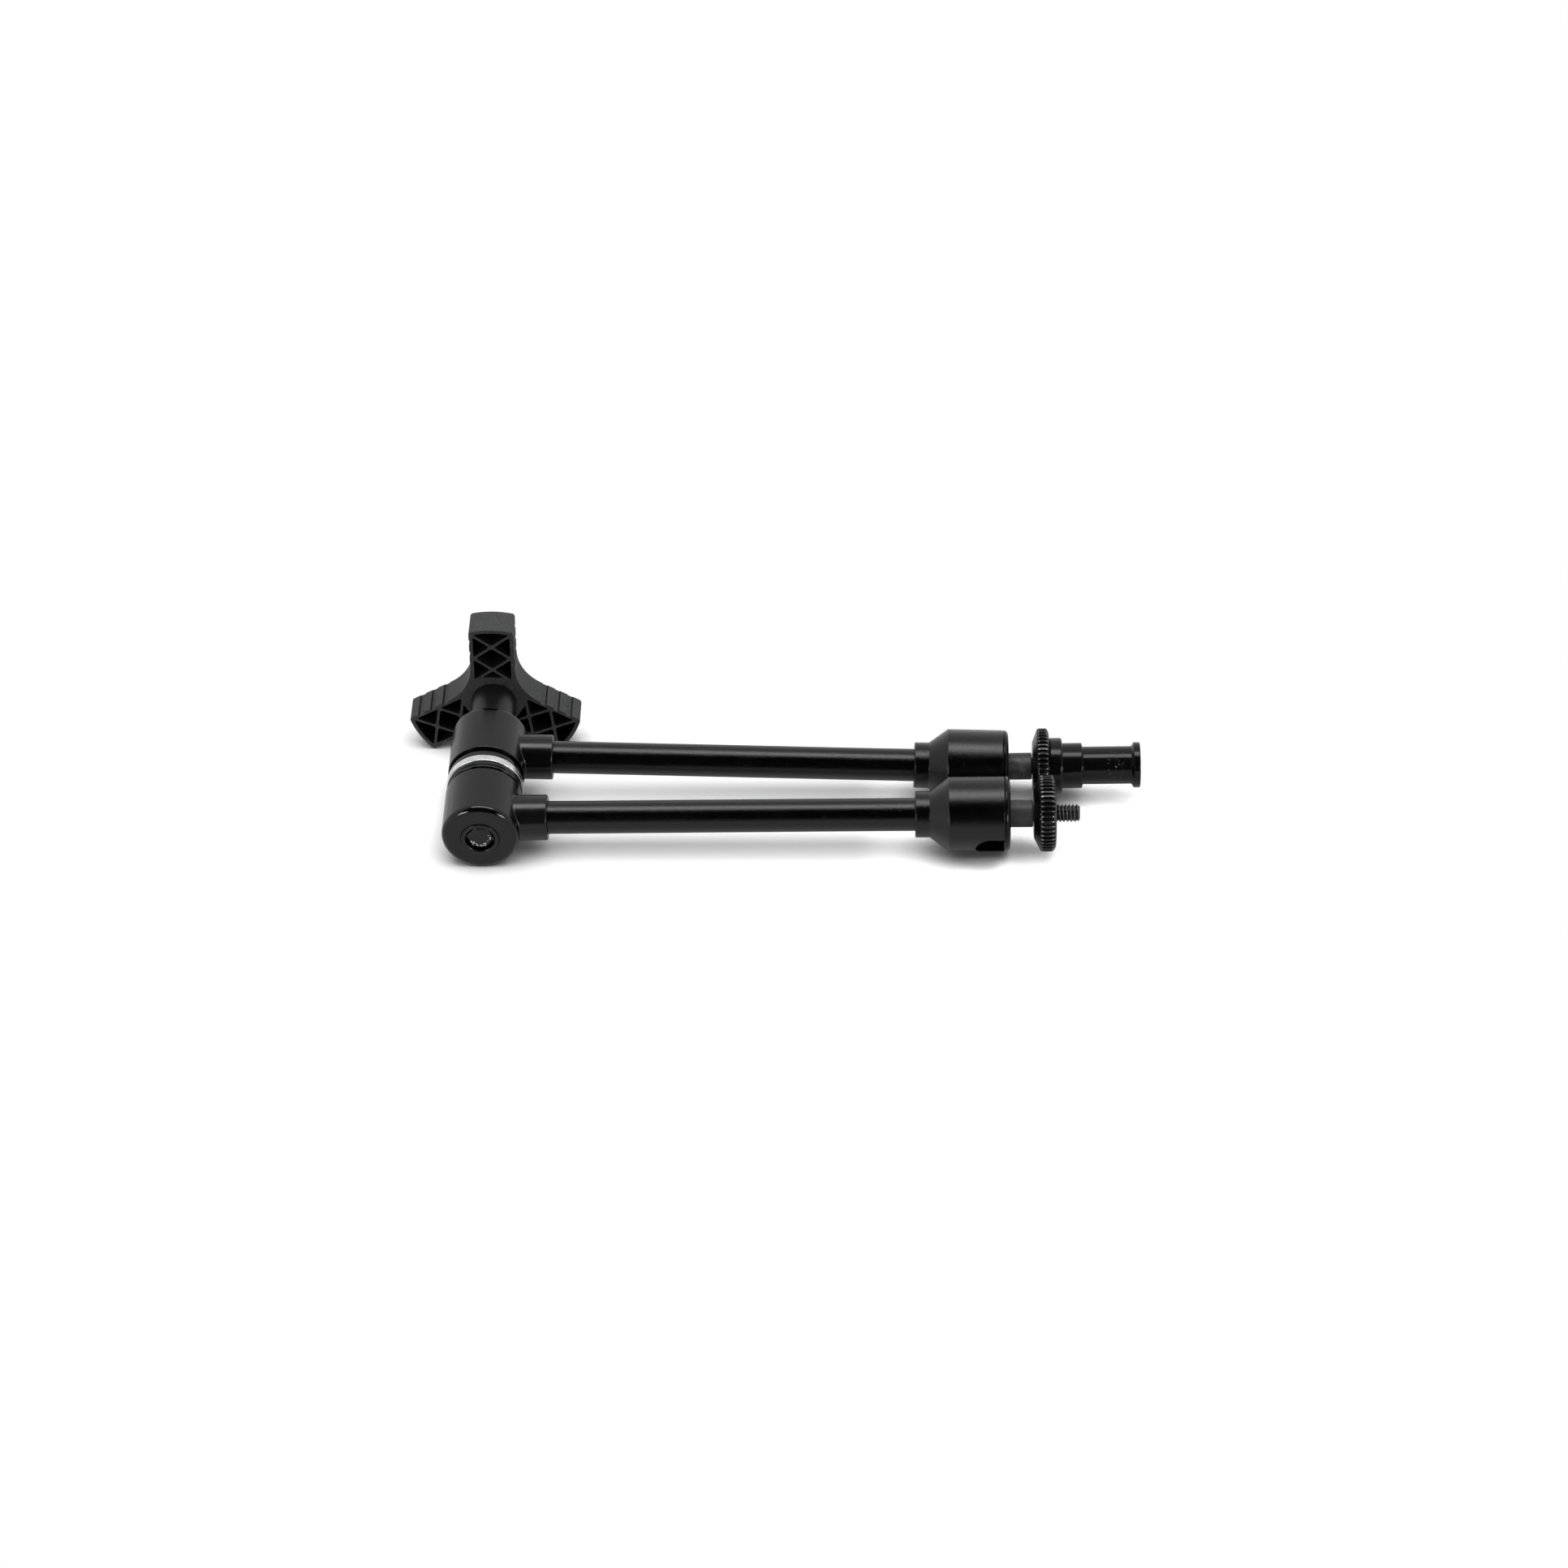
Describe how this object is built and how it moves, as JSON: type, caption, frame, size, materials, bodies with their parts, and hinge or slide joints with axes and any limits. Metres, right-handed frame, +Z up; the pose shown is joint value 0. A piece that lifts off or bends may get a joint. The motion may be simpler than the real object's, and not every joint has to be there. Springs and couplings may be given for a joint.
{
  "type": "articulating friction arm",
  "caption": "Folding friction arm: two tubes on a clamping elbow with a three-lobed knob, and a ball joint at each end, one with a tripod screw and one with a spigot.",
  "frame": {"origin": "centre of the part's bounding box at the table it lies on", "axes": "+X along the folded arms from the elbow to the ball joints, +Y from the near arm to the knob, +Z up"},
  "size_m": [0.2588, 0.0914, 0.0548],
  "materials": {
    "arm_metal": "satin black anodised",
    "tube_coat": "gloss black powder coat",
    "fittings": "satin black anodised, turned",
    "stem_steel": "blackened",
    "bright_steel": "turned, bright",
    "bolt_steel": "gloss black paint over the head",
    "friction_fibre": "black friction composite",
    "seat_brass": "turned",
    "spring_wire": "drawn wire",
    "knob_plastic": "fine textured glass-filled nylon"
  },
  "bodies": {
    "far_arm": {"far_elbow_housing": "arm_metal", "far_friction_ring": "friction_fibre", "elbow_washer": "bright_steel", "release_spring": "spring_wire", "far_tube": "tube_coat", "far_ball_housing": "arm_metal", "far_retaining_ring": "fittings"},
    "near_arm": {"near_elbow_housing": "arm_metal", "near_friction_ring": "friction_fibre", "near_tube": "tube_coat", "near_ball_housing": "arm_metal", "near_retaining_ring": "fittings"},
    "far_clamp": {"far_wedge_cone": "bright_steel", "thrust_washer": "bright_steel"},
    "knob": {"knob_hub": "fittings", "knob_body": "knob_plastic"},
    "near_clamp": {"draw_bolt": "bolt_steel", "near_wedge_cone": "bright_steel"},
    "near_rod": {"near_push_rod": "bright_steel"},
    "far_rod": {"far_push_rod": "bright_steel"},
    "near_seat": {"near_ball_seat": "seat_brass"},
    "far_seat": {"far_ball_seat": "seat_brass"},
    "near_stud": {"near_ball_stud": "stem_steel"},
    "far_stud": {"far_ball_stud": "stem_steel", "spigot_adapter": "fittings"},
    "near_wheel": {"near_lock_wheel": "fittings"},
    "far_wheel": {"far_lock_wheel": "fittings"}
  },
  "joints": [
    {"name": "elbow_fold", "type": "hinge", "parent": "far_arm", "child": "near_arm", "pos_m": [-0.09903, -0.01529, 0.01636], "axis": [0.0019, 0.9927, 0.1205], "continuous": true},
    {"name": "far_clamp_slide", "type": "slide", "parent": "far_arm", "child": "far_clamp", "axis": [0.0019, 0.9927, 0.1205], "range_m": [0, 0.000501]},
    {"name": "knob_turn", "type": "hinge", "parent": "far_clamp", "child": "knob", "pos_m": [-0.09903, -0.01529, 0.01636], "axis": [0.0019, 0.9927, 0.1205], "range_deg": [0, 360]},
    {"name": "near_clamp_slide", "type": "slide", "parent": "near_arm", "child": "near_clamp", "axis": [-0.0019, -0.9927, -0.1205], "range_m": [0, 0.000501]},
    {"name": "near_rod_slide", "type": "slide", "parent": "near_arm", "child": "near_rod", "axis": [1, -0.003, 0.0092], "range_m": [-0.000182, 0]},
    {"name": "near_ball_swivel", "type": "hinge", "parent": "near_arm", "child": "near_seat", "pos_m": [0.07583, -0.03249, 0.01595], "axis": [1, -0.003, 0.0092], "continuous": true},
    {"name": "near_ball_tilt", "type": "hinge", "parent": "near_seat", "child": "near_stud", "pos_m": [0.07583, -0.03249, 0.01595], "axis": [-0.0019, -0.9927, -0.1205], "range_deg": [-20, 20]},
    {"name": "near_wheel_turn", "type": "hinge", "parent": "near_stud", "child": "near_wheel", "pos_m": [0.07583, -0.03249, 0.01595], "axis": [1, -0.003, 0.0092], "continuous": true},
    {"name": "far_rod_slide", "type": "slide", "parent": "far_arm", "child": "far_rod", "axis": [0.9995, 0.0019, -0.0306], "range_m": [-0.000182, 0]},
    {"name": "far_ball_swivel", "type": "hinge", "parent": "far_arm", "child": "far_seat", "pos_m": [0.07582, 0.00171, 0.01303], "axis": [0.9995, 0.0019, -0.0306], "continuous": true},
    {"name": "far_ball_tilt", "type": "hinge", "parent": "far_seat", "child": "far_stud", "pos_m": [0.07582, 0.00171, 0.01303], "axis": [-0.0019, -0.9927, -0.1205], "range_deg": [-22.6, 17.4]},
    {"name": "far_wheel_turn", "type": "hinge", "parent": "far_stud", "child": "far_wheel", "pos_m": [0.07582, 0.00171, 0.01303], "axis": [0.9999, -0.0036, 0.0144], "continuous": true}
  ],
  "couplings": [
    {"joint": "far_clamp_slide", "follows": "knob_turn", "m_per_rad": 0.000079577},
    {"joint": "near_clamp_slide", "follows": "knob_turn", "m_per_rad": 0.000079577},
    {"joint": "near_rod_slide", "follows": "knob_turn", "m_per_rad": -0.000028964},
    {"joint": "far_rod_slide", "follows": "knob_turn", "m_per_rad": -0.000028964}
  ]
}
